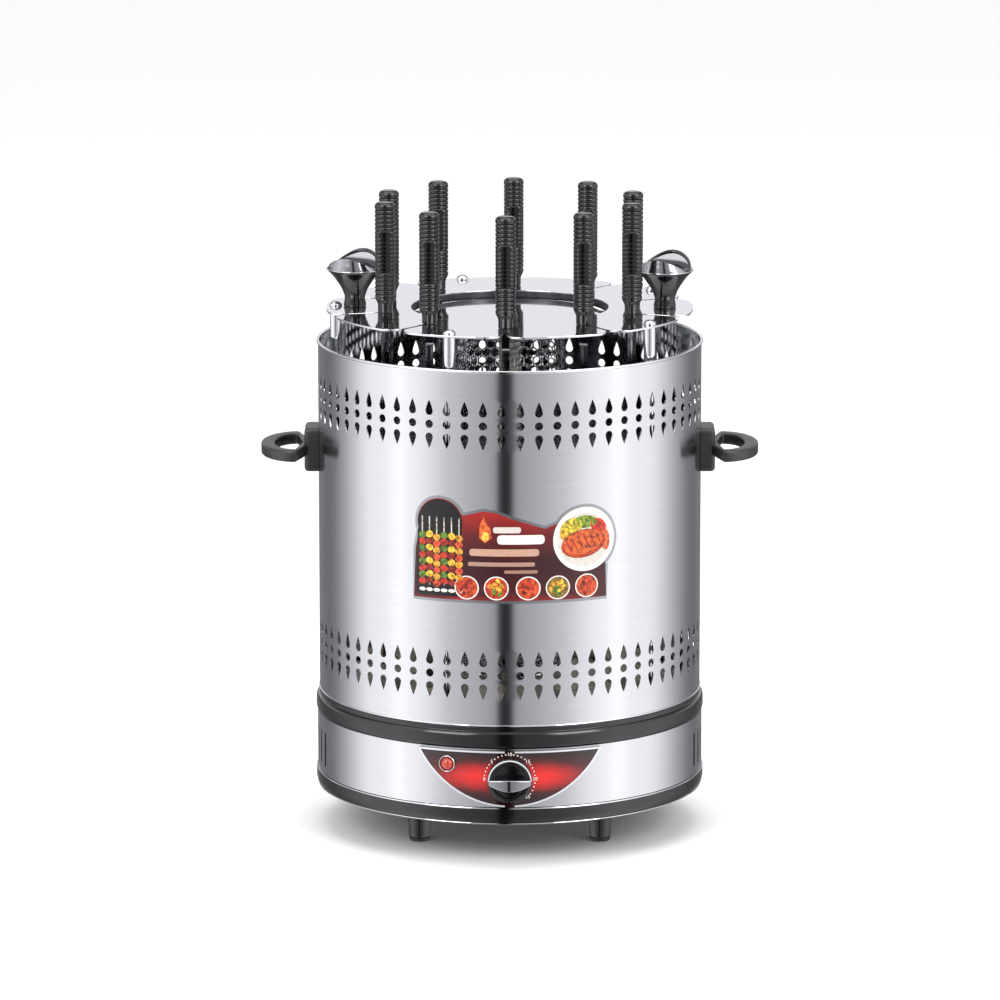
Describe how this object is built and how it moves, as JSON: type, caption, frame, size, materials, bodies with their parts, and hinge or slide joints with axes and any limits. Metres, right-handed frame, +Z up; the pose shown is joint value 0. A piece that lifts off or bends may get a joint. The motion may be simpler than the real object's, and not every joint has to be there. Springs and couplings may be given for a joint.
{
  "type": "upright electric skewer grill",
  "caption": "Upright electric skewer grill: perforated steel barrel around a lift-out rack of geared turning skewers, on a round base with a timer.",
  "frame": {"origin": "on the surface it stands on, under the barrel's axis", "axes": "+Z up along the barrel's axis, -Y towards the timer knob, +X to the right seen from the front"},
  "size_m": [0.364, 0.318, 0.4649],
  "materials": {
    "brushed_steel": "stainless sheet, finely brushed around the barrel",
    "polished_steel": "mirror-polished stainless",
    "gloss_black": "moulded black phenolic, glossy",
    "satin_black": "moulded black phenolic, satin",
    "red_panel": "glossy printed panel, dark red with brighter red at each side, silver edging",
    "red_lens": "clear red lens",
    "nylon": "moulded natural nylon",
    "zinc_plate": "zinc-plated steel"
  },
  "bodies": {
    "base": {"base_pan": "gloss_black", "base_band": "brushed_steel", "base_deck": "gloss_black", "foot_1": "satin_black", "foot_2": "satin_black", "foot_3": "satin_black", "foot_4": "satin_black", "control_panel": "red_panel", "timer_unit": "zinc_plate", "indicator_lamp": "red_lens", "cord_gland": "satin_black", "gear_motor": "zinc_plate", "heater_guard": "polished_steel", "heater_tube": "zinc_plate", "heater_cap": "polished_steel"},
    "shell": {"barrel": "brushed_steel", "side_handle_left": "satin_black", "side_handle_right": "satin_black"},
    "drive": {"drive_gear": "nylon"},
    "pinion": {"motor_pinion": "nylon"},
    "rack": {"top_plate": "polished_steel", "rack_base": "zinc_plate", "rack_post_1": "polished_steel", "rack_post_2": "polished_steel", "rack_post_3": "polished_steel", "rack_post_4": "polished_steel", "rack_post_5": "polished_steel", "lift_knob_left": "gloss_black", "lift_knob_right": "gloss_black"},
    "dial": {"timer_knob": "gloss_black"},
    "cup_1": {"drip_cup_1": "nylon"},
    "skewer_1": {"skewer_handle_1": "gloss_black", "skewer_blade_1": "polished_steel"},
    "cup_2": {"drip_cup_2": "nylon"},
    "skewer_2": {"skewer_handle_2": "gloss_black", "skewer_blade_2": "polished_steel"},
    "cup_3": {"drip_cup_3": "nylon"},
    "skewer_3": {"skewer_handle_3": "gloss_black", "skewer_blade_3": "polished_steel"},
    "cup_4": {"drip_cup_4": "nylon"},
    "skewer_4": {"skewer_handle_4": "gloss_black", "skewer_blade_4": "polished_steel"},
    "cup_5": {"drip_cup_5": "nylon"},
    "skewer_5": {"skewer_handle_5": "gloss_black", "skewer_blade_5": "polished_steel"},
    "cup_6": {"drip_cup_6": "nylon"},
    "skewer_6": {"skewer_handle_6": "gloss_black", "skewer_blade_6": "polished_steel"},
    "cup_7": {"drip_cup_7": "nylon"},
    "skewer_7": {"skewer_handle_7": "gloss_black", "skewer_blade_7": "polished_steel"},
    "cup_8": {"drip_cup_8": "nylon"},
    "skewer_8": {"skewer_handle_8": "gloss_black", "skewer_blade_8": "polished_steel"},
    "cup_9": {"drip_cup_9": "nylon"},
    "skewer_9": {"skewer_handle_9": "gloss_black", "skewer_blade_9": "polished_steel"},
    "cup_10": {"drip_cup_10": "nylon"},
    "skewer_10": {"skewer_handle_10": "gloss_black", "skewer_blade_10": "polished_steel"}
  },
  "joints": [
    {"name": "shell_lift", "type": "slide", "parent": "base", "child": "shell", "axis": [0, 0, 1], "range_m": [0, 0.38]},
    {"name": "drive_spin", "type": "hinge", "parent": "base", "child": "drive", "pos_m": [0, 0, 0.1], "axis": [0, 0, 1], "continuous": true},
    {"name": "pinion_spin", "type": "hinge", "parent": "base", "child": "pinion", "pos_m": [0, 0.055, 0.065], "axis": [0, 0, 1], "continuous": true},
    {"name": "rack_lift", "type": "slide", "parent": "base", "child": "rack", "axis": [0, 0, 1], "range_m": [0, 0.285]},
    {"name": "timer_turn", "type": "hinge", "parent": "base", "child": "dial", "pos_m": [0, -0.15, 0.0645], "axis": [0, 1, 0], "range_deg": [0, 225]},
    {"name": "cup_spin_1", "type": "hinge", "parent": "rack", "child": "cup_1", "pos_m": [0.09027, 0.02622, 0.105], "axis": [0, 0, 1], "continuous": true},
    {"name": "skewer_lift_1", "type": "slide", "parent": "cup_1", "child": "skewer_1", "axis": [0, 0, 1], "range_m": [0, 0.28]},
    {"name": "cup_spin_2", "type": "hinge", "parent": "rack", "child": "cup_2", "pos_m": [0.05761, 0.07427, 0.105], "axis": [0, 0, 1], "continuous": true},
    {"name": "skewer_lift_2", "type": "slide", "parent": "cup_2", "child": "skewer_2", "axis": [0, 0, 1], "range_m": [0, 0.28]},
    {"name": "cup_spin_3", "type": "hinge", "parent": "rack", "child": "cup_3", "pos_m": [0.00295, 0.09395, 0.105], "axis": [0, 0, 1], "continuous": true},
    {"name": "skewer_lift_3", "type": "slide", "parent": "cup_3", "child": "skewer_3", "axis": [0, 0, 1], "range_m": [0, 0.28]},
    {"name": "cup_spin_4", "type": "hinge", "parent": "rack", "child": "cup_4", "pos_m": [-0.05284, 0.07775, 0.105], "axis": [0, 0, 1], "continuous": true},
    {"name": "skewer_lift_4", "type": "slide", "parent": "cup_4", "child": "skewer_4", "axis": [0, 0, 1], "range_m": [0, 0.28]},
    {"name": "cup_spin_5", "type": "hinge", "parent": "rack", "child": "cup_5", "pos_m": [-0.08844, 0.03184, 0.105], "axis": [0, 0, 1], "continuous": true},
    {"name": "skewer_lift_5", "type": "slide", "parent": "cup_5", "child": "skewer_5", "axis": [0, 0, 1], "range_m": [0, 0.28]},
    {"name": "cup_spin_6", "type": "hinge", "parent": "rack", "child": "cup_6", "pos_m": [-0.09027, -0.02622, 0.105], "axis": [0, 0, 1], "continuous": true},
    {"name": "skewer_lift_6", "type": "slide", "parent": "cup_6", "child": "skewer_6", "axis": [0, 0, 1], "range_m": [0, 0.28]},
    {"name": "cup_spin_7", "type": "hinge", "parent": "rack", "child": "cup_7", "pos_m": [-0.05761, -0.07427, 0.105], "axis": [0, 0, 1], "continuous": true},
    {"name": "skewer_lift_7", "type": "slide", "parent": "cup_7", "child": "skewer_7", "axis": [0, 0, 1], "range_m": [0, 0.28]},
    {"name": "cup_spin_8", "type": "hinge", "parent": "rack", "child": "cup_8", "pos_m": [-0.00295, -0.09395, 0.105], "axis": [0, 0, 1], "continuous": true},
    {"name": "skewer_lift_8", "type": "slide", "parent": "cup_8", "child": "skewer_8", "axis": [0, 0, 1], "range_m": [0, 0.28]},
    {"name": "cup_spin_9", "type": "hinge", "parent": "rack", "child": "cup_9", "pos_m": [0.05284, -0.07775, 0.105], "axis": [0, 0, 1], "continuous": true},
    {"name": "skewer_lift_9", "type": "slide", "parent": "cup_9", "child": "skewer_9", "axis": [0, 0, 1], "range_m": [0, 0.28]},
    {"name": "cup_spin_10", "type": "hinge", "parent": "rack", "child": "cup_10", "pos_m": [0.08844, -0.03184, 0.105], "axis": [0, 0, 1], "continuous": true},
    {"name": "skewer_lift_10", "type": "slide", "parent": "cup_10", "child": "skewer_10", "axis": [0, 0, 1], "range_m": [0, 0.28]}
  ],
  "couplings": [
    {"joint": "pinion_spin", "follows": "drive_spin", "ratio": -4},
    {"joint": "cup_spin_1", "follows": "drive_spin", "ratio": -5},
    {"joint": "cup_spin_2", "follows": "drive_spin", "ratio": -5},
    {"joint": "cup_spin_3", "follows": "drive_spin", "ratio": -5},
    {"joint": "cup_spin_4", "follows": "drive_spin", "ratio": -5},
    {"joint": "cup_spin_5", "follows": "drive_spin", "ratio": -5},
    {"joint": "cup_spin_6", "follows": "drive_spin", "ratio": -5},
    {"joint": "cup_spin_7", "follows": "drive_spin", "ratio": -5},
    {"joint": "cup_spin_8", "follows": "drive_spin", "ratio": -5},
    {"joint": "cup_spin_9", "follows": "drive_spin", "ratio": -5},
    {"joint": "cup_spin_10", "follows": "drive_spin", "ratio": -5}
  ]
}
